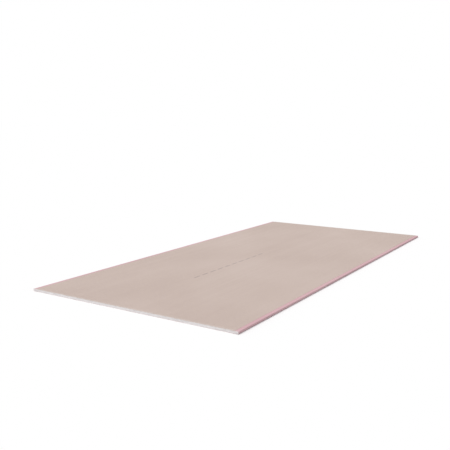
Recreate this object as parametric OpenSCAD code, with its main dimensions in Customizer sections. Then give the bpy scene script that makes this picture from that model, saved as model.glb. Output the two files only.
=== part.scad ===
// Drywall sheet with tapered long edges: a gypsum core bound between a face paper and a back paper.
// The sheet lies face down. Z = 0 is the face, X runs across the width and Y along the length.

/* [Sheet] */
// Width across the sheet, from bound edge to bound edge
sheet_width = 1200; // [600:50:1250]
// Length along the sheet, from cut end to cut end
sheet_length = 2500; // [1200:50:3600]
// Thickness over both papers, inside the tapers
sheet_thickness = 12.5; // [9.5:0.5:18]

/* [Tapered edges] */
// Width of the taper that runs along each bound edge of the face
taper_width = 50; // [40:1:80]
// Depth of the taper at the bound edge
taper_depth = 1.6; // [0.6:0.1:2.5]
// Outside radius of the fold from the taper to the edge
face_fold_radius = 2; // [1:0.1:3]
// Outside radius of the fold from the edge to the back
back_fold_radius = 1.4; // [1:0.1:2.5]

/* [Papers] */
// Thickness of the face paper
face_paper_thickness = 0.4; // [0.2:0.05:0.6]
// Thickness of the back paper
back_paper_thickness = 0.4; // [0.2:0.05:0.6]
// Margin of turned-over face paper that shows along each edge of the back
bare_flap_width = 18; // [8:1:30]
// Margin of turned-over face paper that the back paper covers
lapped_flap_width = 16; // [8:1:40]

/* [Hidden] */
$fn = 64;

gypsum_colour = [0.89, 0.87, 0.86];
face_paper_colour = [0.84, 0.68, 0.70];
back_paper_colour = [0.79, 0.73, 0.69];

half_width = sheet_width / 2;
taper_angle = atan2(taper_depth, taper_width);
taper_start = half_width - taper_width;

// The face paper is turned over flush with the top of the core, and the back paper lies on both
back_bed = sheet_thickness - back_paper_thickness;
back_paper_edge = half_width - bare_flap_width;
flap_edge = back_paper_edge - lapped_flap_width;

// The fold from the taper touches the slope of the taper and the upright edge
face_fold_x = half_width - face_fold_radius;
face_fold_z = (face_fold_x - taper_start) * tan(taper_angle) + face_fold_radius / cos(taper_angle);

// The fold onto the back touches the upright edge and the bed of the back paper
back_fold_x = half_width - back_fold_radius;
back_fold_z = back_bed - back_fold_radius;

// One half of the section, at a depth under the outside of the face paper.
// Straight sides join the points where the folds start and end, and a disc rounds out each fold.
module half_section(depth) {
    face_radius = face_fold_radius - depth;
    back_radius = back_fold_radius - depth;
    polygon([
        [0, depth],
        [taper_start - depth * tan(taper_angle / 2), depth],
        [face_fold_x + face_radius * sin(taper_angle), face_fold_z - face_radius * cos(taper_angle)],
        [face_fold_x + face_radius, face_fold_z],
        [back_fold_x + back_radius, back_fold_z],
        [back_fold_x, back_fold_z + back_radius],
        [0, back_fold_z + back_radius]
    ]);
    translate([face_fold_x, face_fold_z])
        circle(face_radius);
    translate([back_fold_x, back_fold_z])
        circle(back_radius);
}

module whole_section(depth) {
    half_section(depth);
    mirror([1, 0])
        half_section(depth);
}

// The gap on the back between the free edges of the two flaps
module flap_gap() {
    translate([-flap_edge, back_bed - face_paper_thickness])
        square([2 * flap_edge, face_paper_thickness]);
}

// Carries a section of the sheet along its length
module along_sheet() {
    rotate([90, 0, 0])
        linear_extrude(height = sheet_length, center = true)
            children();
}

// Cast gypsum between the papers, which fills the gap between the two flaps of face paper
module gypsum_core() {
    color(gypsum_colour)
        along_sheet()
            union() {
                whole_section(face_paper_thickness);
                flap_gap();
            }
}

// One paper over the face, round both edges and turned over onto the back
module face_paper() {
    color(face_paper_colour)
        along_sheet()
            difference() {
                whole_section(0);
                whole_section(face_paper_thickness);
                flap_gap();
            }
}

// Flat paper over the back, lapped over both flaps of the face paper
module back_paper() {
    color(back_paper_colour)
        along_sheet()
            translate([-back_paper_edge, back_bed])
                square([2 * back_paper_edge, back_paper_thickness]);
}

gypsum_core();
face_paper();
back_paper();
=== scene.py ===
# %% [markdown]
# # A sheet of drywall, from its solids to its picture
#
# A drywall sheet is a slab of cast gypsum between two papers. The pink face paper is the wider one:
# it covers the face, climbs the tapers, folds round both long edges and is turned over onto the back.
# The beige back paper lies between the two turned-over margins and laps over them.
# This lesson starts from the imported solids, which fix every size, and makes each of the three pieces
# again as a fine surface, with the creases, the ragged cuts and the broken gypsum that a solid leaves out.

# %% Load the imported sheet
import functools
import math

import bpy
import numpy as np
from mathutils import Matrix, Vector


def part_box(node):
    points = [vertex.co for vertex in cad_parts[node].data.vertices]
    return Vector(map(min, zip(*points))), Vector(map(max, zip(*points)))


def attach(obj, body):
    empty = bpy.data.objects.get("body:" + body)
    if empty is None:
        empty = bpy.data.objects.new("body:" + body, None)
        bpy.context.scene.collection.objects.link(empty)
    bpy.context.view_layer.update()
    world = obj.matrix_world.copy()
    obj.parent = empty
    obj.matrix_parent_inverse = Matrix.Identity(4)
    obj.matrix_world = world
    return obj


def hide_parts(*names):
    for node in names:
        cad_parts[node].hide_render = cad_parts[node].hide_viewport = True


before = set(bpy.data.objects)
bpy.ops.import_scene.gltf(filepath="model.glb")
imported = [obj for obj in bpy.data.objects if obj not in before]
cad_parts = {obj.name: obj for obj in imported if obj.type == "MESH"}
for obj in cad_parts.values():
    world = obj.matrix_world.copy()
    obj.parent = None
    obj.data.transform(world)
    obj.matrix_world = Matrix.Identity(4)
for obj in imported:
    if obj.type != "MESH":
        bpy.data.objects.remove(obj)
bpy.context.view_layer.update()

# %% [markdown]
# ## Sizes
#
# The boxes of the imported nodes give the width, the length and both paper thicknesses.
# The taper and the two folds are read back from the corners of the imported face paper.
# Typing the numbers in again would work too, but then a change of the solids would leave the scene behind.

# %% Read the boxes of the three nodes
MM = 0.001
core_low, core_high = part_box("gypsum_core")
_, wrap_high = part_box("face_paper")
back_low, back_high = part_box("back_paper")

HALF_WIDTH = wrap_high.x
HALF_LENGTH = core_high.y
THICKNESS = back_high.z
BACK_BED = back_low.z
FACE_PAPER = core_low.z
BACK_PAPER_EDGE = back_high.x
sheet_size = np.array([2 * HALF_WIDTH, 2 * HALF_LENGTH, THICKNESS])
print("width, length, thickness, mm:", np.round(sheet_size / MM, 2))

# %% Read the folds from the corners of the wrap
# Places closer than this count as the same
SAME = 1e-6

packed_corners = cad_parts["face_paper"].data.vertices
wrap_corners = np.empty(3 * len(packed_corners), np.float32)
packed_corners.foreach_get("co", wrap_corners)
corner_x, _, corner_z = np.abs(wrap_corners.reshape(-1, 3)).T

TAPER_START = corner_x[corner_z < SAME].max()
on_bed = corner_x[np.abs(corner_z - BACK_BED) < SAME]
FLAP_EDGE = on_bed.min()
BACK_FOLD = HALF_WIDTH - on_bed.max()

# The lowest corner past the start of the taper is the one where the taper runs into the lower fold
past_start = corner_x > TAPER_START + MM
taper_end = np.argmin(np.where(past_start, corner_z, np.inf))
TAPER_SLOPE = corner_z[taper_end] / (corner_x[taper_end] - TAPER_START)
TAPER_ANGLE = math.atan(TAPER_SLOPE)
TAPER_DEPTH = (HALF_WIDTH - TAPER_START) * TAPER_SLOPE

# The lower fold touches the slope and the upright edge, so the height of its centre gives its radius
FACE_FOLD_Z = corner_z[corner_x > HALF_WIDTH - SAME].min()
FACE_FOLD = (FACE_FOLD_Z - TAPER_DEPTH) / (1 / math.cos(TAPER_ANGLE) - TAPER_SLOPE)
print("taper depth, mm:", round(TAPER_DEPTH / MM, 3))
print("lower and upper fold, mm:", round(FACE_FOLD / MM, 3), round(BACK_FOLD / MM, 3))

# %% [markdown]
# ## Grids and their map
#
# Each piece here is the skin between two grids of points: outside and inside of a paper, or near and far
# end of the core. A finish can be baked into a picture through a map that lays the faces out flat.
# Blender can lay them out by itself, but it gives the hidden sides as much room as those that show.
# So each grid gets a share of the map here, and a long narrow one is cut into strips.

# %% Lay a grid out on the map
MAP_GAP = 0.02


def places_along(grid, axis):
    """Places from 0 to 1 along one way of a grid, half by the count of steps and half by their mean length.

    By length alone, the narrow folds would get no room.
    """
    steps = np.linalg.norm(np.diff(grid, axis=axis), axis=-1).mean(axis=1 - axis)
    shares = steps / steps.sum() + 1 / len(steps)
    return np.concatenate([[0], np.cumsum(shares)]) / 2


def laid_flat(grid, strips, low, high):
    """Where the four corners of each face of a grid lie on the map.

    Columns run along the map and rows up it. The grid is cut across its columns into strips of equal
    length, which lie one over another between the heights low and high, with a gap round each.
    """
    along, up = places_along(grid, 1) * strips, places_along(grid, 0)
    strip = np.floor(along[:-1])
    left, right = along[:-1] - strip, along[1:] - strip
    u = np.stack([left, right, right, left], -1)[None]
    v = np.stack([up[:-1], up[:-1], up[1:], up[1:]], -1)[:, None]
    u, v = (MAP_GAP / 2 + (1 - MAP_GAP) * places for places in np.broadcast_arrays(u, v))
    v = low + (high - low) * (strip[None, :, None] + v) / strips
    return np.stack([u, v], -1).reshape(-1, 4, 2)


one_face = np.dstack([*np.meshgrid([0, 1], [0, 1]), np.zeros((2, 2))])
print("a single face on the map:", laid_flat(one_face, 1, 0, 1).round(2).tolist())

# %% [markdown]
# ## One closed piece from two grids
#
# A rim joins the borders of the two grids, so no piece has an open edge.
# A Solidify modifier could give a paper its thickness as well, but then its cut ends could not be shaped.

# %% Find borders and faces
def border_of(grid):
    """The points round a grid, once round from its first corner."""
    return np.concatenate([grid[0, :-1], grid[:-1, -1], grid[-1, :0:-1], grid[:0:-1, 0]])


def grid_faces(index):
    """Four neighbours in a grid make a face."""
    return np.stack([index[:-1, :-1], index[:-1, 1:], index[1:, 1:], index[1:, :-1]], -1).reshape(-1, 4)


def rim_faces(loops):
    """The faces between each loop of points and the next, and their places on the map from 0 to 1."""
    after = np.roll(loops, -1, axis=1)
    faces = np.stack([after[:-1], loops[:-1], loops[1:], after[1:]], -1)
    step, turn = np.indices(faces.shape[:2])
    u = np.stack([turn + 1, turn, turn, turn + 1], -1) / faces.shape[1]
    v = np.stack([step, step, step + 1, step + 1], -1) / faces.shape[0]
    return faces.reshape(-1, 4), np.stack([u, v], -1).reshape(-1, 4, 2)


print("points round a grid of 3 by 4:", len(border_of(np.zeros((3, 4, 3)))))

# %% Make a closed piece
SHARP_ANGLE = math.radians(35)
RIM_SHARE = 0.06
BAKE_MAP = "OFBake"


def put_in_mesh(name, points, faces, places):
    """A smooth mesh with sharp edges past SHARP_ANGLE, with a map for the baking of its finish."""
    mesh = bpy.data.meshes.new(name)
    mesh.vertices.add(len(points))
    mesh.vertices.foreach_set("co", points.astype(np.float32).ravel())
    mesh.loops.add(faces.size)
    mesh.loops.foreach_set("vertex_index", faces.astype(np.int32).ravel())
    mesh.polygons.add(len(faces))
    mesh.polygons.foreach_set("loop_start", np.arange(0, faces.size, 4, dtype=np.int32))
    mesh.update(calc_edges=True)
    mesh.polygons.foreach_set("use_smooth", np.ones(len(faces), bool))
    mesh.set_sharp_from_angle(angle=SHARP_ANGLE)
    mesh.uv_layers.new(name=BAKE_MAP).data.foreach_set("uv", places.astype(np.float32).ravel())
    return mesh


def shell_between(name, first, second, rings=(), share=0.5, strips=1):
    """The closed skin of two grids with the same rows and columns.

    The second grid's faces are turned round. A rim joins the two borders, by way of the rings.
    The first grid gets a share of the map. If the enclosed volume is negative, all faces are turned.
    """
    index = np.arange(first.shape[0] * first.shape[1]).reshape(first.shape[:2])
    count, around = index.size, len(border_of(index))
    border = border_of(index)[None]
    ring_index = 2 * count + np.arange(len(rings) * around).reshape(-1, around)
    rim, rim_places = rim_faces(np.concatenate([border, ring_index, border + count]))
    points = np.concatenate([grid.reshape(-1, 3) for grid in (first, second, *rings)])
    faces = np.concatenate([grid_faces(index), grid_faces(index)[:, ::-1] + count, rim])
    split = share * (1 - RIM_SHARE)
    places = np.concatenate([
        laid_flat(first, strips, 0, split),
        laid_flat(second, strips, split, 1 - RIM_SHARE)[:, ::-1],
        rim_places * (1, RIM_SHARE) + (0, 1 - RIM_SHARE),
    ])
    a, b, c, d = (points[faces[:, corner]] for corner in range(4))
    if np.einsum("ij,ij->", a, np.cross(b, c) + np.cross(c, d)) < 0:
        faces, places = faces[:, ::-1], places[:, ::-1]
    piece = bpy.data.objects.new(name, put_in_mesh(name, points, faces, places))
    bpy.context.scene.collection.objects.link(piece)
    print(name, "faces:", len(faces))
    return piece


print("edges stay sharp past", round(math.degrees(SHARP_ANGLE)), "degrees")

# %% [markdown]
# ## Noise for shapes
#
# Paper and broken gypsum are never quite even. The unevenness comes from value noise:
# random values on a lattice, blended between. The draws are seeded, so each run gives the same sheet.
# Blender's own noise module works one point at a time, which is slow on a hundred thousand points.

# %% Make smooth and rough noise
LATTICE = 256


def fade(x, start, end):
    """0 before start, 1 after end, and 3t^2 - 2t^3 between them."""
    t = np.clip((x - start) / (end - start), 0, 1)
    return t * t * (3 - 2 * t)


def smooth_noise(a, b, seed):
    """Noise from -1 to 1: random values at whole numbers of a and b, blended by fade between them."""
    lattice = np.random.default_rng(seed).uniform(-1, 1, (LATTICE, LATTICE))
    a0, b0 = np.floor(a).astype(int), np.floor(b).astype(int)
    ta, tb = fade(a - a0, 0, 1), fade(b - b0, 0, 1)
    a0, b0, a1, b1 = a0 % LATTICE, b0 % LATTICE, (a0 + 1) % LATTICE, (b0 + 1) % LATTICE
    near = lattice[a0, b0] * (1 - tb) + lattice[a0, b1] * tb
    far = lattice[a1, b0] * (1 - tb) + lattice[a1, b1] * tb
    return near * (1 - ta) + far * ta


def rough_noise(a, b, size, word, octaves=4):
    """Noise from 0 to 1 whose patches are about as long as size, a length along a and one along b.

    It is a sum of smooth noises, each half as long and half as high as the one before.
    The letters of a word are the seed, so each word gives a noise of its own.
    """
    a, b, letters = a / size[0], b / size[1], list(word.encode())
    layers = [smooth_noise(a * 2**k, b * 2**k, [*letters, k]) / 2**k for k in range(octaves)]
    return 0.5 + 0.5 * sum(layers) / (2 - 2.0 ** (1 - octaves))


sample = rough_noise(np.linspace(0, 90, 900), np.linspace(0, 40, 900), (1, 1), "sample")
print("noise from", sample.min().round(3), "to", sample.max().round(3))

# %% [markdown]
# ## The line of the wrap
#
# Seen from a cut end, the face paper is one line: turned-over flap, upper fold, edge, lower fold, taper,
# face, and the same again on the other side. The line is written once, for any depth under the outside
# of the paper, so both sides of the paper and the core under it come from one formula and fit.
# Lines drawn one by one would leave gaps or overlaps between the pieces.

# %% Work out the section line
FACE_FOLD_X = HALF_WIDTH - FACE_FOLD
BACK_FOLD_X = HALF_WIDTH - BACK_FOLD
BACK_FOLD_Z = BACK_BED - BACK_FOLD
TAPER_STEPS, FOLD_STEPS, EDGE_STEPS, FLAP_STEPS, FACE_STEPS = 14, 12, 8, 12, 48


def straight(start, end, steps):
    """Even steps from start, without the end."""
    return np.linspace(start, end, steps, endpoint=False)


def arc(x, z, radius, first, last):
    """Even turns about a centre, from the first angle and without the last."""
    angle = straight(first, last, FOLD_STEPS)
    return np.stack([x + radius * np.cos(angle), z + radius * np.sin(angle)], 1)


def half_line(depth):
    """From the foot of the taper to the free edge of the flap, as x and z.

    Straight stretches and two arcs about fixed centres. A depth moves each stretch inwards along its normal
    and shortens both radii by as much, so lines of different depth stay parallel.
    """
    foot = (TAPER_START - depth * math.tan(TAPER_ANGLE / 2), depth)
    low, high = FACE_FOLD - depth, BACK_FOLD - depth
    top_of_taper = (FACE_FOLD_X + low * math.sin(TAPER_ANGLE), FACE_FOLD_Z - low * math.cos(TAPER_ANGLE))
    edge_x, flap_z = HALF_WIDTH - depth, BACK_BED - depth
    return np.concatenate([
        straight(foot, top_of_taper, TAPER_STEPS),
        arc(FACE_FOLD_X, FACE_FOLD_Z, low, TAPER_ANGLE - math.pi / 2, 0),
        straight((edge_x, FACE_FOLD_Z), (edge_x, BACK_FOLD_Z), EDGE_STEPS),
        arc(BACK_FOLD_X, BACK_FOLD_Z, high, 0, math.pi / 2),
        straight((BACK_FOLD_X, flap_z), (FLAP_EDGE, flap_z), FLAP_STEPS),
        [(FLAP_EDGE, flap_z)],
    ])


def whole_line(depth):
    """The half line, its mirror image, and the flat of the face between them."""
    right = half_line(depth)
    left = right[::-1] * (-1, 1)
    return np.concatenate([left, straight(left[-1], right[0], FACE_STEPS)[1:], right])


outside, inside = whole_line(0), whole_line(FACE_PAPER)
normals = (outside - inside) / FACE_PAPER
along_wrap = np.concatenate([[0], np.cumsum(np.linalg.norm(np.diff(outside, axis=0), axis=1))])
along_wrap = along_wrap - along_wrap[-1] / 2
print("points across the wrap:", len(outside), "paper width, mm:", round(2 * along_wrap[-1] / MM, 1))

# %% [markdown]
# ## Stations along the sheet
#
# Both papers have stations along the length: close together at the cut ends, where the saw
# leaves a ragged lip, and wider apart between them. An even spacing fine enough for the ends
# would cost many times the faces.

# %% Place the stations
END_STEPS = np.array([0, 0.5, 1.2, 2.5, 5, 10, 20]) * MM
RAGGED = 0.3 * MM
RAGGED_LENGTH = 24 * MM


def stations(steps):
    """Places along the length: END_STEPS from each cut end, and even steps between them."""
    near = END_STEPS - HALF_LENGTH
    return np.concatenate([near, straight(near[-1], -near[-1], steps)[1:], -near[::-1]])


def ragged_ends(across, y, word):
    """How far each point moves along the sheet: inwards by up to RAGGED at the ends, and 0 between them."""
    end = np.sign(y) * (np.abs(y) > HALF_LENGTH - SAME)
    return -end * RAGGED * rough_noise(across, end, (RAGGED_LENGTH, 1), word)


print("stations near a cut end, mm:", np.round(stations(100)[:9] / MM, 1))

# %% [markdown]
# ## The face paper
#
# The paper was scored before it was folded, so a shallow crease runs along each side of a fold.
# The forming line also leaves the edge a little wavy, and handling leaves small dents in it.
# All of this moves the surface along its own normal by tenths of a millimetre, always inwards,
# so the sheet keeps its size. Painting the creases as bump alone would leave the mesh as smooth as a pipe.

# %% Find the creases and the dents
DENT_SEED = 5
DENT_COUNT = 26
DENT_LENGTHS = (12 * MM, 34 * MM)
DENT_DEPTHS = (0.08 * MM, 0.25 * MM)
DENT_MARGIN = 2 * MM


def wrap_place(x, z):
    """How far along the wrap, from the middle of the face, the point nearest to x and z lies."""
    return abs(along_wrap[np.argmin(np.hypot(outside[:, 0] - x, outside[:, 1] - z))])


CREASES = np.array([
    wrap_place(FACE_FOLD_X, 0),
    wrap_place(HALF_WIDTH, FACE_FOLD_Z),
    wrap_place(HALF_WIDTH, BACK_FOLD_Z),
    wrap_place(BACK_FOLD_X, BACK_BED),
])
draw = np.random.default_rng(DENT_SEED)
dent_y = draw.uniform(-HALF_LENGTH, HALF_LENGTH, DENT_COUNT)
dent_side = draw.choice([-1, 1], DENT_COUNT)
dent_place = draw.uniform(CREASES[1], CREASES[3] + DENT_MARGIN, DENT_COUNT) * dent_side
dent_long = draw.uniform(*DENT_LENGTHS, DENT_COUNT)
dent_deep = draw.uniform(*DENT_DEPTHS, DENT_COUNT)
print("creases along the wrap, mm:", np.round(CREASES / MM, 1), "dents:", DENT_COUNT)

# %% Push the paper in along its creases and dents
CREASE_DEPTH = 0.07 * MM
CREASE_WIDTH = 0.35 * MM
CREASE_PATCH = (60 * MM, 10 * MM)
DENT_HEIGHT = 3 * MM
NO_DENT, FULL_DENT = 30 * MM, 80 * MM
WRAP_STEPS = 260


def wrap_relief(s, y):
    """Inward depth at place s along the wrap and y along the sheet: creases and dents.

    A crease is a bell curve across its fold line, a little deeper in some places than in others.
    A dent is a bell curve in both directions, and none lies near a cut end.
    """
    creases = np.exp(-(((np.abs(s)[..., None] - CREASES) / CREASE_WIDTH) ** 2)).sum(-1)
    deeper = 0.5 + 0.5 * rough_noise(y, s, CREASE_PATCH, "crease", octaves=3)
    far = ((y[..., None] - dent_y) / dent_long) ** 2 + ((s[..., None] - dent_place) / DENT_HEIGHT) ** 2
    dents = (dent_deep * np.exp(-far)).max(-1)
    return creases * CREASE_DEPTH * deeper + dents * fade(HALF_LENGTH - np.abs(y), NO_DENT, FULL_DENT)


deepest = wrap_relief(*np.meshgrid(along_wrap, stations(WRAP_STEPS))).max()
print("deepest crease or dent, mm:", round(deepest / MM, 3))

# %% Wrap the face paper round the sheet
WANDER = 0.25 * MM
WANDER_LENGTH = 0.42
PAPER_SHARE = 0.95


def wandered(x, y):
    """Moves x towards the middle by slow noise along y.

    The edge moves by up to WANDER, and the move fades out over the taper.
    """
    near_edge = fade(np.abs(x), TAPER_START, FACE_FOLD_X)
    slow = rough_noise(y, np.sign(x), (WANDER_LENGTH, 1), "wander", octaves=3)
    return x - np.sign(x) * near_edge * WANDER * slow


def wrapped(line):
    """The section line carried along the stations, pushed in by the relief and cut ragged at both ends."""
    s, y = np.meshgrid(along_wrap, stations(WRAP_STEPS))
    depth = wrap_relief(s, y)
    x = wandered(np.broadcast_to(line[:, 0], y.shape), y) - normals[:, 0] * depth
    z = line[:, 1] - normals[:, 1] * depth
    return np.stack([x, y + ragged_ends(s, y, "wrap lip"), z], -1)


face_paper = shell_between("face_paper_wrap", wrapped(outside), wrapped(inside), share=PAPER_SHARE)

# %% [markdown]
# ## The back paper
#
# The back paper is flat and lies on the core and on the two flaps. Where it steps from a flap to the core,
# a faint ridge shows through it, and its long edges were slit by a knife, so they wander by a hair.
# A plain box would do from far away, but then light would never catch the ridge.

# %% Lay the back paper on the sheet
LAP_SINK = 0.06 * MM
LAP_SLOPE = 4 * MM
COCKLE = 0.05 * MM
COCKLE_SIZE = (90 * MM, 140 * MM)
SLIT_WANDER = 0.4 * MM
SLIT_LENGTH = 50 * MM
SLIT_REACH = 9 * MM
ACROSS_STEPS, ACROSS_DIGITS = 220, 5
BACK_STEPS = 150

lap_steps = np.array([-4, -2, -1, 0, 1, 2, 4, 8]) * MM
slit_steps = np.array([0, 0.4, 1.5, 4, 9]) * MM
half_across = np.concatenate([
    straight(0, BACK_PAPER_EDGE - SLIT_REACH, ACROSS_STEPS // 2),
    FLAP_EDGE + lap_steps,
    BACK_PAPER_EDGE - slit_steps,
])
across = np.unique(np.round(np.concatenate([half_across, -half_across]), ACROSS_DIGITS))


def back_sheet(bottom):
    """The flat sheet as a grid of x and y.

    Its top sinks by LAP_SINK between the flaps, and by a slow cockle all over.
    """
    x, y = np.meshgrid(across, stations(BACK_STEPS))
    sink = LAP_SINK * (1 - fade(np.abs(x), FLAP_EDGE - LAP_SLOPE, FLAP_EDGE))
    cockle = COCKLE * rough_noise(x, y, COCKLE_SIZE, "cockle", octaves=3)
    slit = SLIT_WANDER * rough_noise(y, np.sign(x), (SLIT_LENGTH, 1), "slit")
    slit = slit * fade(np.abs(x), BACK_PAPER_EDGE - SLIT_REACH, BACK_PAPER_EDGE)
    z = np.full_like(x, BACK_BED) if bottom else THICKNESS - sink - cockle
    return np.stack([x - np.sign(x) * slit, y + ragged_ends(x, y, "back lip"), z], -1)


back_paper = shell_between("back_paper_sheet", back_sheet(False), back_sheet(True), share=PAPER_SHARE)

# %% [markdown]
# ## The gypsum core
#
# Only the cut ends of the core show. The gypsum there is rough: the cut wanders slowly, the saw has
# combed it from top to bottom, it is pitted with air bubbles, and it crumbles along both papers.
# All of these are depths behind the flat end, added up on a fine grid over the end face.
# A Displace modifier could roughen a flat end too, but it cannot tell the rims from the middle.
# The sides of the core lie hidden under the papers, so the rim between the ends may be long plain faces.
# They are sunk a little, away from the ends, so that no dent of a paper meets them.

# %% Set out the grid of an end
END_COLUMNS, COLUMN_DIGITS = 1800, 6
END_ROWS = 19
STEP_WIDTH = 0.01 * MM

inner = half_line(FACE_PAPER)
widest = HALF_WIDTH - FACE_PAPER
first_widest = np.argmax(inner[:, 0] > widest - SAME)
low_line, high_line = inner[: first_widest + 1], inner[first_widest:][::-1]
half_columns = np.concatenate([
    np.linspace(0, widest, END_COLUMNS // 2), low_line[:, 0], high_line[:, 0], [FLAP_EDGE - STEP_WIDTH],
])
columns = np.unique(np.round(np.concatenate([half_columns, -half_columns]), COLUMN_DIGITS))
end_x, end_v = np.meshgrid(columns, np.linspace(0, 1, END_ROWS))
end_low = np.interp(np.abs(end_x), low_line[:, 0], low_line[:, 1])
end_high = np.interp(np.abs(end_x), high_line[:, 0], high_line[:, 1])
end_high = np.where(np.abs(end_x) < FLAP_EDGE - SAME, BACK_BED, end_high)
end_z = end_low + end_v * (end_high - end_low)
print("columns and rows of an end:", len(columns), END_ROWS)

# %% Roughen the cut
CUT_WAVE, CUT_WAVE_SIZE = 0.30 * MM, (110 * MM, 50 * MM)
COMB, COMB_SIZE = 0.16 * MM, (2.2 * MM, 20 * MM)
GRAIN, GRAIN_SIZE = 0.14 * MM, (1.4 * MM, 1.4 * MM)
PIT, PIT_SIZE, PIT_LIMITS = 0.45 * MM, (2.6 * MM, 2.2 * MM), (0.67, 0.81)
CRUMBLE, CRUMB_SIZE, CRUMB_LIMITS = 0.5 * MM, (12 * MM, 1), (0.58, 0.80)
CRUMBLE_REACH = 0.9 * MM


def end_depth(shift):
    """Depth behind the flat end: slow wave, upright comb marks, grain, pits and crumbled rims.

    A pit lies where a noise is high, and the crumbling fades with the distance to the nearer paper.
    """
    x, z = end_x + shift, end_z
    wave = rough_noise(x, z, CUT_WAVE_SIZE, "wave", octaves=3)
    comb = rough_noise(x, z, COMB_SIZE, "comb", octaves=2)
    grain = rough_noise(x, z, GRAIN_SIZE, "grain", octaves=2)
    pits = fade(rough_noise(x, z, PIT_SIZE, "pits", octaves=2), *PIT_LIMITS)
    to_paper = np.minimum(end_v, 1 - end_v) * (end_high - end_low)
    crumbs = rough_noise(x, np.sign(end_v - 0.5), CRUMB_SIZE, "crumbs", octaves=3)
    crumble = fade(crumbs, *CRUMB_LIMITS) * np.exp(-to_paper / CRUMBLE_REACH)
    return CUT_WAVE * wave + COMB * comb + GRAIN * grain + PIT * pits + CRUMBLE * crumble


print("deepest pit, mm:", round(end_depth(0).max() / MM, 2))

# %% Cast the core between its two ends
END_SHIFT = 3.0
SUNK = 0.7 * MM
FLUSH_TO, SUNK_FROM = 4 * MM, 14 * MM
END_STRIPS = 8


def end_face(side):
    """One cut end as a grid over width and height. Each end has its own stretch of the noise."""
    x = wandered(end_x, np.full_like(end_x, side * HALF_LENGTH))
    return np.stack([x, side * (HALF_LENGTH - end_depth(side * END_SHIFT)), end_z], -1)


def core_ring(end, side, inward, sunk):
    """The border of an end, moved inwards along the sheet and drawn in towards the middle of the section.

    The widest points are drawn in by sunk, and so are the highest and the lowest.
    """
    middle = np.array([0, 0, (FACE_PAPER + BACK_BED) / 2])
    section = border_of(end) * (1, 0, 1) - middle
    drawn_in = section * (1 - sunk / np.array([widest, 1, BACK_BED - middle[2]]))
    return drawn_in + middle + (0, side * (HALF_LENGTH - inward), 0)


near_end, far_end = end_face(-1), end_face(1)
rings = [
    core_ring(near_end, -1, FLUSH_TO, 0), core_ring(near_end, -1, SUNK_FROM, SUNK),
    core_ring(far_end, 1, SUNK_FROM, SUNK), core_ring(far_end, 1, FLUSH_TO, 0),
]
core = shell_between("gypsum_core_cut", near_end, far_end, rings, strips=END_STRIPS)

# %% [markdown]
# ## Helpers for finishes
#
# A finish is a small tree of nodes that reads the place on the sheet in metres, so a pattern has its real
# size and does not stretch. An unwrapped picture would stretch round the folds.
# Colours are written as they look on a screen, from 0 to 255, and turned into linear light.

# %% Write nodes in short lines
def tone(red, green, blue):
    """A screen colour as linear light: c / 12.92 up to 0.04045, and ((c + 0.055) / 1.055) ^ 2.4 above."""
    c = np.array([red, green, blue]) / 255
    linear = np.where(c <= 0.04045, c / 12.92, ((c + 0.055) / 1.055) ** 2.4)
    return (*linear.tolist(), 1.0)


def node(tree, kind, settings=None, **inputs):
    """A new node. An input is named, or numbered after an underscore, and takes a link or a plain value."""
    made = tree.nodes.new(kind)
    for name, value in (settings or {}).items():
        setattr(made, name, value)
    for name, value in inputs.items():
        socket = made.inputs[int(name[1:])] if name[0] == "_" else made.inputs[name.replace("_", " ")]
        if isinstance(value, bpy.types.NodeSocket):
            tree.links.new(value, socket)
        else:
            socket.default_value = value
    return made


def new_finish(name):
    """A material with an empty tree, and the place on the sheet."""
    finish = bpy.data.materials.new(name)
    finish.use_nodes = True
    finish.node_tree.nodes.clear()
    place = node(finish.node_tree, "ShaderNodeTexCoord").outputs["Object"]
    return finish, finish.node_tree, place


print("a pink in linear light:", np.round(tone(213, 174, 180), 3).tolist())

# %% Reckon with values and blend colours
# Noise mostly keeps between the first and the last of these
TONE_STOPS = (0.34, 0.5, 0.66)


def sums(tree, operation, a, b=0.0, c=0.0):
    """One step of arithmetic between two or three values."""
    return node(tree, "ShaderNodeMath", {"operation": operation}, _0=a, _1=b, _2=c).outputs[0]


def highest(tree, values):
    """The highest of several values."""
    return functools.reduce(functools.partial(sums, tree, "MAXIMUM"), values)


def mask(tree, value, none, full, low=0.0, high=1.0):
    """Low where the value is at none, high where it is at full, and even steps between."""
    return node(tree, "ShaderNodeMapRange", _0=value, _1=none, _2=full, _3=low, _4=high).outputs[0]


def blend(tree, factor, strength, under, over):
    """Under where the factor is 0, and over laid on it with a strength where the factor is 1."""
    share = sums(tree, "MULTIPLY", factor, strength)
    return node(tree, "ShaderNodeMix", {"data_type": "RGBA"}, _0=share, _6=under, _7=over).outputs[2]


def toned(tree, value, tones):
    """Three tones along a value, one at each of the TONE_STOPS."""
    made = node(tree, "ShaderNodeValToRGB", Fac=value)
    elements = made.color_ramp.elements
    # A new ramp has two stops, so a third one is added
    elements.new(TONE_STOPS[1])
    for element, position, colour in zip(elements, TONE_STOPS, tones):
        element.position, element.color = position, colour
    return made.outputs[0]


print("tones from dark to light at", TONE_STOPS)

# %% Lay patterns at their real size
PATCH_DETAIL, PATCH_ROUGHNESS = 4.0, 0.7
BUMP_STRENGTH = 0.6


def sized(tree, place, size, turn=0.0, shift=0.0):
    """The place, shifted and turned about the upright axis, then measured in steps of size."""
    mapping = node(tree, "ShaderNodeMapping", {"vector_type": "TEXTURE"}, Vector=place, Scale=size)
    mapping.inputs["Rotation"].default_value = (0, 0, turn)
    mapping.inputs["Location"].default_value = (shift, shift, shift)
    return mapping.outputs[0]


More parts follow.
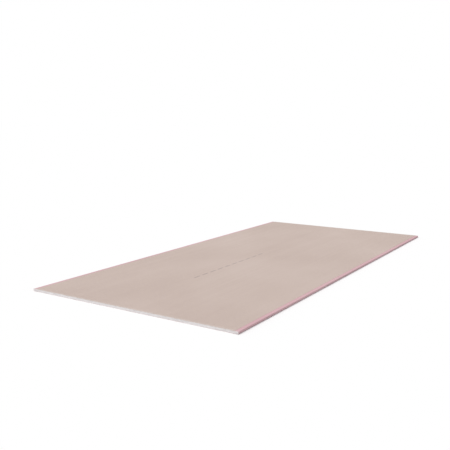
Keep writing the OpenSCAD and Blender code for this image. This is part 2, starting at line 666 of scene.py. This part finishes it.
def noise(tree, place, size, detail=2.0, roughness=0.5, **laid):
    """Noise from 0 to 1 whose patches are about as long as size."""
    steps = sized(tree, place, size, **laid)
    made = node(tree, "ShaderNodeTexNoise", Vector=steps, Scale=1.0, Detail=detail, Roughness=roughness)
    return made.outputs[0]


def patches(tree, place, size, limits):
    """1 in the high patches of a noise and 0 in the low ones, with the two limits between."""
    return mask(tree, noise(tree, place, size, PATCH_DETAIL, PATCH_ROUGHNESS), *limits)


def cells(tree, place, size):
    """Cells about as long as size: the distance to the middle of each cell, and a random draw for it."""
    made = node(tree, "ShaderNodeTexVoronoi", Vector=sized(tree, place, size), Scale=1.0).outputs
    return made["Distance"], node(tree, "ShaderNodeSeparateColor", Color=made["Color"]).outputs[0]


def surfaced(tree, colour, roughness, shine, height, relief):
    """The shader that all three finishes share: colour, roughness, a weak shine, and bump.

    The relief is the bump's depth in metres where the height goes from 0 to 1.
    """
    bump = node(tree, "ShaderNodeBump", Strength=BUMP_STRENGTH, Distance=relief, Height=height).outputs[0]
    shader = node(tree, "ShaderNodeBsdfPrincipled", Base_Color=colour, Roughness=roughness, Normal=bump)
    shader.inputs["Specular IOR Level"].default_value = shine
    node(tree, "ShaderNodeOutputMaterial", Surface=shader.outputs[0])
    print("nodes in the finish:", len(tree.nodes))


print("patches with", PATCH_DETAIL, "octaves, bump at", BUMP_STRENGTH)

# %% [markdown]
# ## Paper
#
# Both papers are recycled board. From a few steps away they are nearly even, with a trace of cloud and of
# streaks along the length. Up close they are a felt of short fibres that lie in all directions, some
# dark and some light, with a fleck of old print here and there. A picture of paper would soon repeat
# on a sheet this large, so the felt is worked out from noise. One function makes both finishes,
# because they differ only in colour and in how strongly the felt shows.

# %% Lay fibres and scatter flecks
FIBRE_SIZE, FIBRE_DETAIL = (0.3 * MM, 3.5 * MM, 0.8 * MM), 1.0
FIBRE_TURNS = [0.0, 0.9, 1.7, 2.5]
FIBRE_LIMITS = (0.58, 0.68)
FLECK = tone(128, 112, 106)
FLECK_SIZE = (5 * MM, 7 * MM, 5 * MM)
FLECK_CHANCE = 0.6
FLECK_RIM, FLECK_MIDDLE = 0.10, 0.05
FLECK_STRENGTH = 0.45


def fibres(tree, place, shift):
    """1 on fibres: narrow patches of noise above a bar, laid in four directions one over another."""
    every_way = [
        noise(tree, place, FIBRE_SIZE, FIBRE_DETAIL, turn=turn, shift=shift)
        for turn in FIBRE_TURNS
    ]
    return mask(tree, highest(tree, every_way), *FIBRE_LIMITS)


def flecked(tree, place, colour):
    """A small dark spot in some cells: their draw is low, and their middle lies near the surface."""
    distance, chance = cells(tree, place, FLECK_SIZE)
    chosen = sums(tree, "LESS_THAN", chance, FLECK_CHANCE)
    fleck = sums(tree, "MULTIPLY", chosen, mask(tree, distance, FLECK_RIM, FLECK_MIDDLE))
    return blend(tree, fleck, FLECK_STRENGTH, colour, FLECK)


print("fibres, mm:", np.round(np.array(FIBRE_SIZE) / MM, 2), "directions:", len(FIBRE_TURNS))

# %% [markdown]
# ## Dust and rubbed folds
#
# The saw leaves a breath of gypsum dust beside the cut ends, and handling rubs the folds pale.
# Both are thinner than the paper's own fibres, so they are a change of colour and not a shape.
# The rubbing has to follow the folds, so the wrap carries a value that says how near each point is to one.

# %% Dust the ends
DUST = tone(230, 226, 223)
DUST_REACH = 18 * MM
DUST_PATCH, DUST_LIMITS = (12 * MM, 9 * MM, 9 * MM), (0.38, 0.70)
DUST_STRENGTH = 0.6


def dusted(tree, place, colour):
    """Gypsum dust that thins out from the cut ends, broken up by noise."""
    y = node(tree, "ShaderNodeSeparateXYZ", Vector=place).outputs[1]
    from_end = sums(tree, "SUBTRACT", HALF_LENGTH, sums(tree, "ABSOLUTE", y))
    patchy = patches(tree, place, DUST_PATCH, DUST_LIMITS)
    amount = sums(tree, "MULTIPLY", mask(tree, from_end, DUST_REACH, 0.0), patchy)
    return blend(tree, amount, DUST_STRENGTH, colour, DUST)


print("dust reaches, mm:", round(DUST_REACH / MM))

# %% Rub the folds
FOLD_REACH = 1.2 * MM
RUB_PATCH, RUB_LIMITS = (4 * MM, 26 * MM, 4 * MM), (0.36, 0.68)
RUB_STRENGTH = 0.55

fold_mark = np.exp(-(((np.abs(along_wrap)[:, None] - CREASES) / FOLD_REACH) ** 2)).max(1)
lines_along = len(face_paper.data.vertices) // len(fold_mark)
fold_attribute = face_paper.data.attributes.new("fold", "FLOAT", "POINT")
fold_attribute.data.foreach_set("value", np.tile(fold_mark, lines_along).astype(np.float32))


def rubbed(tree, place, colour, pale):
    """Pale patches along the folds, where the attribute of the wrap says that a fold runs."""
    fold = node(tree, "ShaderNodeAttribute", {"attribute_name": "fold"}).outputs["Fac"]
    worn = sums(tree, "MULTIPLY", fold, patches(tree, place, RUB_PATCH, RUB_LIMITS))
    return blend(tree, worn, RUB_STRENGTH, colour, pale)


print("points of the wrap on a fold:", int((fold_mark > 0.5).sum()), "of", len(fold_mark))

# %% [markdown]
# ## Printed marks
#
# Such sheets carry a line of print along the middle of the back and short prints on a bound edge.
# Here plain dashes and ticks stand in those places. They are worked out in the finish from the place
# on the sheet, so the ink is as flat as real ink. Separate thin pieces would stand off the paper.

# %% Ink a row of dashes
INK = tone(112, 98, 104)
INK_PATCH, INK_LIMITS = (3 * MM, 3 * MM, 3 * MM), (0.10, 0.55)
INK_STRENGTH = 0.5


def dash_row(tree, along, start, count, pitch, share):
    """1 on the dashes of a row: (along - start) / pitch is within count, its fraction below share."""
    counted = sums(tree, "DIVIDE", sums(tree, "SUBTRACT", along, start), pitch)
    inside_row = sums(tree, "COMPARE", counted, count / 2, count / 2)
    dash = sums(tree, "LESS_THAN", sums(tree, "FRACT", counted), share)
    return sums(tree, "MULTIPLY", inside_row, dash)


def inked(tree, place, colour, band, dashes):
    """Ink on the dashes within a band, a little thinner in patches."""
    stamp = sums(tree, "MULTIPLY", band, dashes)
    cover = sums(tree, "MULTIPLY", stamp, patches(tree, place, INK_PATCH, INK_LIMITS))
    return blend(tree, cover, INK_STRENGTH, colour, INK)


print("ink covers by", INK_STRENGTH)

# %% Print the back and the edge
# Rows start at a place in metres from the middle of the sheet
BACK_ROW_X, BACK_ROW_START = -0.05, -0.64
DASH_COUNT, DASH_PITCH, DASH_SHARE = 10, 76 * MM, 0.7
DASH_HALF_HEIGHT = 4 * MM
# The start of each group of ticks, and how many there are
EDGE_ROWS = [(-1.02, 7), (-0.38, 45), (0.815, 13)]
TICK_PITCH, TICK_SHARE = 10 * MM, 0.3
TICK_HALF_HEIGHT = 2.4 * MM


def back_print(tree, place, colour):
    """A broken guide line near the middle of the back."""
    x, y, _ = node(tree, "ShaderNodeSeparateXYZ", Vector=place).outputs
    band = sums(tree, "COMPARE", x, BACK_ROW_X, DASH_HALF_HEIGHT)
    dashes = dash_row(tree, y, BACK_ROW_START, DASH_COUNT, DASH_PITCH, DASH_SHARE)
    return inked(tree, place, colour, band, dashes)


def edge_print(tree, place, colour):
    """Three groups of ticks on one bound edge, a centimetre apart like the marks of a rule."""
    x, y, z = node(tree, "ShaderNodeSeparateXYZ", Vector=place).outputs
    on_edge = sums(tree, "GREATER_THAN", x, HALF_WIDTH - FACE_FOLD / 2)
    half_way_up = sums(tree, "COMPARE", z, (FACE_FOLD_Z + BACK_FOLD_Z) / 2, TICK_HALF_HEIGHT)
    band = sums(tree, "MULTIPLY", on_edge, half_way_up)
    rows = [dash_row(tree, y, start, count, TICK_PITCH, TICK_SHARE) for start, count in EDGE_ROWS]
    return inked(tree, place, colour, band, highest(tree, rows))


print("dashes:", DASH_COUNT, "ticks:", sum(count for _, count in EDGE_ROWS))

# %% [markdown]
# ## The two papers
#
# Now the layers go one over another, from the tone of the pulp to the ink, and the same fibres that change
# the colour also raise the surface a little. A pattern of its own for the bump would be simpler,
# but then the light would not agree with the colour.
# The colours are those of the photograph in even light.

# %% Finish both papers
CLOUD_SIZE, CLOUD_SHARE = (0.5, 0.7, 0.5), 0.36
STREAK_SIZE, STREAK_SHARE = (18 * MM, 2.0, 18 * MM), 0.14
PULP_SIZE, PULP_SHARE = (3 * MM, 4.5 * MM, 3 * MM), 0.5
PULP_RISE, FIBRE_RISE = 0.7, 0.5
OTHER_FIBRES = 0.37
DARK_ROUGHNESS, LIGHT_ROUGHNESS = 0.95, 0.82
PAPER_SHINE = 0.25
PAPER_RELIEF = 0.1 * MM


def paper_finish(name, tones, felt, printed, pale=None):
    """Clouds, streaks and pulp choose a tone from dark to light, and all the rest lies on it.

    The light fibres and the pulp also give the bump.
    """
    finish, tree, place = new_finish(name)
    clouds = noise(tree, place, CLOUD_SIZE)
    streaks = noise(tree, place, STREAK_SIZE)
    pulp = noise(tree, place, PULP_SIZE, PATCH_DETAIL, PATCH_ROUGHNESS)
    shade = sums(tree, "MULTIPLY", clouds, CLOUD_SHARE)
    shade = sums(tree, "MULTIPLY_ADD", streaks, STREAK_SHARE, shade)
    shade = sums(tree, "MULTIPLY_ADD", pulp, PULP_SHARE, shade)
    colour = toned(tree, shade, tones)
    light_fibres, dark_fibres = fibres(tree, place, 0.0), fibres(tree, place, OTHER_FIBRES)
    colour = blend(tree, dark_fibres, felt, colour, tones[0])
    colour = blend(tree, light_fibres, felt, colour, tones[2])
    colour = flecked(tree, place, colour)
    if pale:
        colour = rubbed(tree, place, colour, pale)
    colour = printed(tree, place, dusted(tree, place, colour))
    height = sums(tree, "MULTIPLY_ADD", pulp, PULP_RISE, sums(tree, "MULTIPLY", light_fibres, FIBRE_RISE))
    roughness = mask(tree, shade, TONE_STOPS[0], TONE_STOPS[2], DARK_ROUGHNESS, LIGHT_ROUGHNESS)
    surfaced(tree, colour, roughness, PAPER_SHINE, height, PAPER_RELIEF)
    return finish


PINKS = [tone(203, 160, 168), tone(213, 174, 180), tone(222, 188, 192)]
BEIGES = [tone(186, 167, 158), tone(201, 183, 174), tone(213, 197, 189)]
RUBBED_PINK = tone(231, 208, 209)
pink_paper = paper_finish("pink_face_paper", PINKS, felt=0.5, printed=edge_print, pale=RUBBED_PINK)
beige_paper = paper_finish("beige_back_paper", BEIGES, felt=0.6, printed=back_print)
face_paper.data.materials.append(pink_paper)
back_paper.data.materials.append(beige_paper)

# %% [markdown]
# ## Gypsum
#
# Set gypsum is a chalky white with hardly any shine. It is full of air bubbles of many sizes,
# and a cut shows them as small bowls, darker because light is lost in them.
# The largest pits are in the mesh already. Small ones would take millions of faces,
# so the bowls that are too small for its grid are bump.

# %% Cut the air bubbles open
BUBBLE_SIZES = [2.6 * MM, 1.1 * MM]
SMALL_BUBBLE, LARGE_BUBBLE = 0.06, 0.40
BUBBLE_RARITY = 3.0


def bowls(tree, place, size):
    """How deep a cut bubble is, from 0 at its rim to 1: sqrt(1 - (d / r)^2), with r drawn for each cell.

    The draw is raised to a power, so large bubbles are rare.
    """
    distance, chance = cells(tree, place, (size, size, size))
    rare = sums(tree, "POWER", chance, BUBBLE_RARITY)
    ratio = sums(tree, "DIVIDE", distance, mask(tree, rare, 0.0, 1.0, SMALL_BUBBLE, LARGE_BUBBLE))
    left = sums(tree, "SUBTRACT", 1.0, sums(tree, "MULTIPLY", ratio, ratio))
    return sums(tree, "SQRT", sums(tree, "MAXIMUM", left, 0.0))


print("bubbles across, mm:", np.round(2 * LARGE_BUBBLE * np.array(BUBBLE_SIZES) / MM, 2), "at most")

# %% Finish the gypsum
CHALK = [tone(218, 212, 212), tone(229, 224, 224), tone(237, 233, 233)]
CHALK_CLOUD = (40 * MM, 40 * MM, 8 * MM)
BUBBLE_SHADE, BUBBLE_STRENGTH = tone(176, 166, 162), 0.32
CRYSTAL_SIZE, CRYSTAL_RISE = (0.5 * MM, 0.5 * MM, 0.5 * MM), 0.5
CHALK_ROUGHNESS = 0.95
CHALK_SHINE = 0.15
CHALK_RELIEF = 0.4 * MM


def gypsum_finish(name):
    """A cloudy white, darker in the bubbles, with bump from the bubbles and the grain of the crystals."""
    finish, tree, place = new_finish(name)
    clouds = noise(tree, place, CHALK_CLOUD, PATCH_DETAIL, PATCH_ROUGHNESS)
    bubbles = highest(tree, [bowls(tree, place, size) for size in BUBBLE_SIZES])
    colour = blend(tree, bubbles, BUBBLE_STRENGTH, toned(tree, clouds, CHALK), BUBBLE_SHADE)
    crystals = noise(tree, place, CRYSTAL_SIZE, PATCH_DETAIL, PATCH_ROUGHNESS)
    height = sums(tree, "SUBTRACT", sums(tree, "MULTIPLY", crystals, CRYSTAL_RISE), bubbles)
    surfaced(tree, colour, CHALK_ROUGHNESS, CHALK_SHINE, height, CHALK_RELIEF)
    return finish


core.data.materials.append(gypsum_finish("gypsum"))

# %% [markdown]
# ## Tie the pieces to the frame
#
# The sheet has one body, so all three pieces ride on it. Each one stands for the imported node in its place.
# The imported nodes could have been kept and only painted, but they are too plain for a close look.

# %% Ride and replace
for piece, packed, slot in [
    (core, "gypsum_core", "gypsum"),
    (face_paper, "face_paper", "pink_face_paper"),
    (back_paper, "back_paper", "beige_back_paper"),
]:
    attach(piece, "root")
    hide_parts(packed)
    print(piece.name, "stands for", packed)

# %% [markdown]
# ## Floor and light
#
# The sheet lies on a white studio floor that runs on into a white background.
# The sky gives most of the light and one wide sun the rest. Together they add up to plain white on a level
# surface, so a colour looks as it is written. The sun is a very wide one, so the shadow is soft.
# An area lamp would fall off over a floor this large, and the far floor would turn grey.

# %% Lay the floor
FLOOR_REACH = 80.0
# A hair below the face, so that floor and face do not share a plane
FLOOR_DROP = 0.1 * MM
WHITE, PALE_GREY = tone(255, 255, 255), tone(225, 225, 225)


def in_view(tree):
    """1 for rays that are seen, straight, mirrored or through glass, and 0 for those that bring light."""
    rays = node(tree, "ShaderNodeLightPath").outputs
    return highest(tree, [rays[f"Is {kind} Ray"] for kind in ("Camera", "Glossy", "Transmission")])


corners = np.array([(-1, -1, 0), (1, -1, 0), (1, 1, 0), (-1, 1, 0)]) * FLOOR_REACH - (0, 0, FLOOR_DROP)
floor_mesh = bpy.data.meshes.new("studio_floor")
floor_mesh.from_pydata(corners.tolist(), [], [(0, 1, 2, 3)])
floor = bpy.data.objects.new("studio_floor", floor_mesh)
bpy.context.scene.collection.objects.link(floor)

floor_finish, floor_tree, _ = new_finish("studio_floor")
floor_colour = blend(floor_tree, in_view(floor_tree), 1.0, PALE_GREY, WHITE)
paint = node(floor_tree, "ShaderNodeBsdfDiffuse", Color=floor_colour)
node(floor_tree, "ShaderNodeOutputMaterial", Surface=paint.outputs[0])
floor_mesh.materials.append(floor_finish)
print("floor, m:", 2 * FLOOR_REACH)

# %% Light the sheet
SKY_LIGHT, SKY_SEEN = 0.62, 1.0
SUN_LIGHT = 0.38
SUN_HEIGHT = math.radians(52)
SUN_AZIMUTH = math.radians(-28)
SUN_WIDTH = math.radians(40)

sky = bpy.data.worlds.new("studio_sky")
sky.use_nodes = True
sky_tree = sky.node_tree
sky_tree.nodes.clear()
sky_level = mask(sky_tree, in_view(sky_tree), 0.0, 1.0, SKY_LIGHT, SKY_SEEN)
glow = node(sky_tree, "ShaderNodeBackground", Color=WHITE, Strength=sky_level)
node(sky_tree, "ShaderNodeOutputWorld", Surface=glow.outputs[0])
bpy.context.scene.world = sky

sun_data = bpy.data.lights.new("studio_sun", "SUN")
sun_data.energy = SUN_LIGHT * math.pi / math.sin(SUN_HEIGHT)
sun_data.angle = SUN_WIDTH
sun = bpy.data.objects.new("studio_sun", sun_data)
sun.rotation_euler = (math.pi / 2 - SUN_HEIGHT, 0, SUN_AZIMUTH)
bpy.context.scene.collection.objects.link(sun)
print("sun strength:", round(sun_data.energy, 3))

# %% [markdown]
# ## Camera
#
# The camera stands where the photograph was taken: its place, turn, tilt and lens were worked out from
# the vanishing points and corners of the picture. Azimuth turns it about the upright axis,
# and tilt makes it look down. Framing the sheet by eye would be quicker, but the lines would not run
# as they do in the photograph.

# %% Stand the camera
CAMERA_PLACE = (1.850, -3.292, 0.843)
CAMERA_AZIMUTH = math.radians(32.74)
CAMERA_TILT = math.radians(9.49)
CAMERA_LENS = 50.26
SENSOR = 36.0

camera_data = bpy.data.cameras.new("camera")
camera_data.lens, camera_data.sensor_width = CAMERA_LENS, SENSOR
camera = bpy.data.objects.new("camera", camera_data)
camera.rotation_euler = (math.pi / 2 - CAMERA_TILT, 0, CAMERA_AZIMUTH)
camera.location = CAMERA_PLACE
bpy.context.scene.collection.objects.link(camera)
bpy.context.scene.camera = camera
bpy.context.scene.view_settings.view_transform = "Standard"
print("camera at", CAMERA_PLACE)
